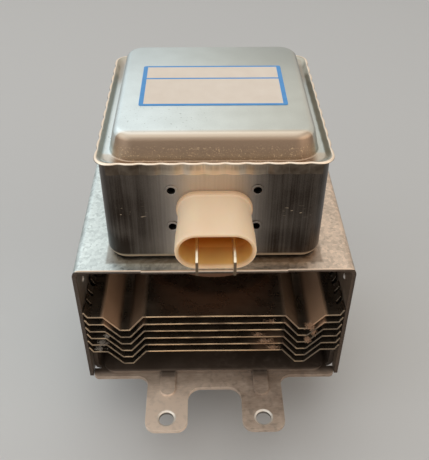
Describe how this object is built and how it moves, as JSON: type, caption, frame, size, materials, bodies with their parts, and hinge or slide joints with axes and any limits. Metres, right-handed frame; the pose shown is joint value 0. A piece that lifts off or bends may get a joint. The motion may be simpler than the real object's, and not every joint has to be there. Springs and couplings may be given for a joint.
{
  "type": "magnetron",
  "caption": "Magnetron for a microwave oven: finned tube between ring magnets in a sheet-steel yoke, with a lidded filter box, an oval plug connector and a lugged mounting plate.",
  "frame": {"origin": "on the tube's axis at the mounting face, in the middle of the four bolt holes", "axes": "+Z along the tube towards the filter box, -Z along the antenna, -Y towards the connector, +X to the right seen from the connector"},
  "size_m": [0.095, 0.1304, 0.1255],
  "materials": {
    "galvanised_yoke": "spangled zinc",
    "worn_plate": "dull, grubby zinc",
    "box_steel": "zinc plated",
    "lid_steel": "zinc plated",
    "fin_aluminium": "rolled",
    "ferrite": "matt sintered",
    "copper": "bright",
    "tube_steel": "plated",
    "ceramic": "matt fired",
    "tungsten": "drawn wire",
    "gasket_mesh": "knitted wire",
    "label_paper": "printed film",
    "connector_plastic": "satin moulded",
    "dark_plastic": "moulded",
    "tinned_blade": "tinned"
  },
  "bodies": {
    "root": {"yoke_frame": "galvanised_yoke", "mounting_plate": "worn_plate", "upper_magnet": "ferrite", "lower_magnet": "ferrite", "cooling_fin_1": "fin_aluminium", "cooling_fin_2": "fin_aluminium", "cooling_fin_3": "fin_aluminium", "cooling_fin_4": "fin_aluminium", "cooling_fin_5": "fin_aluminium", "cooling_fin_6": "fin_aluminium", "anode_cylinder": "copper", "anode_vanes": "copper", "strap_rings": "copper", "upper_pole_piece": "tube_steel", "lower_pole_piece": "tube_steel", "input_seal_cup": "tube_steel", "output_seal_cup": "tube_steel", "cathode_stem_ceramic": "ceramic", "filament_coil": "tungsten", "upper_end_hat": "tungsten", "lower_end_hat": "tungsten", "centre_lead": "tungsten", "side_lead": "tungsten", "filament_terminal_left": "tinned_blade", "filament_terminal_right": "tinned_blade", "output_ceramic": "ceramic", "antenna_lead": "copper", "exhaust_tube": "copper", "antenna_cap": "tube_steel", "rf_gasket": "gasket_mesh", "filter_box": "box_steel", "filter_box_lid": "lid_steel", "label": "label_paper", "capacitor_flange": "box_steel", "capacitor_ceramic": "ceramic", "capacitor_inner_case": "dark_plastic", "connector_shell": "connector_plastic", "terminal_blade_left": "tinned_blade", "terminal_blade_right": "tinned_blade", "choke_coil_left": "copper", "choke_coil_right": "copper", "ferrite_core_left": "ferrite", "ferrite_core_right": "ferrite"}
  },
  "joints": []
}
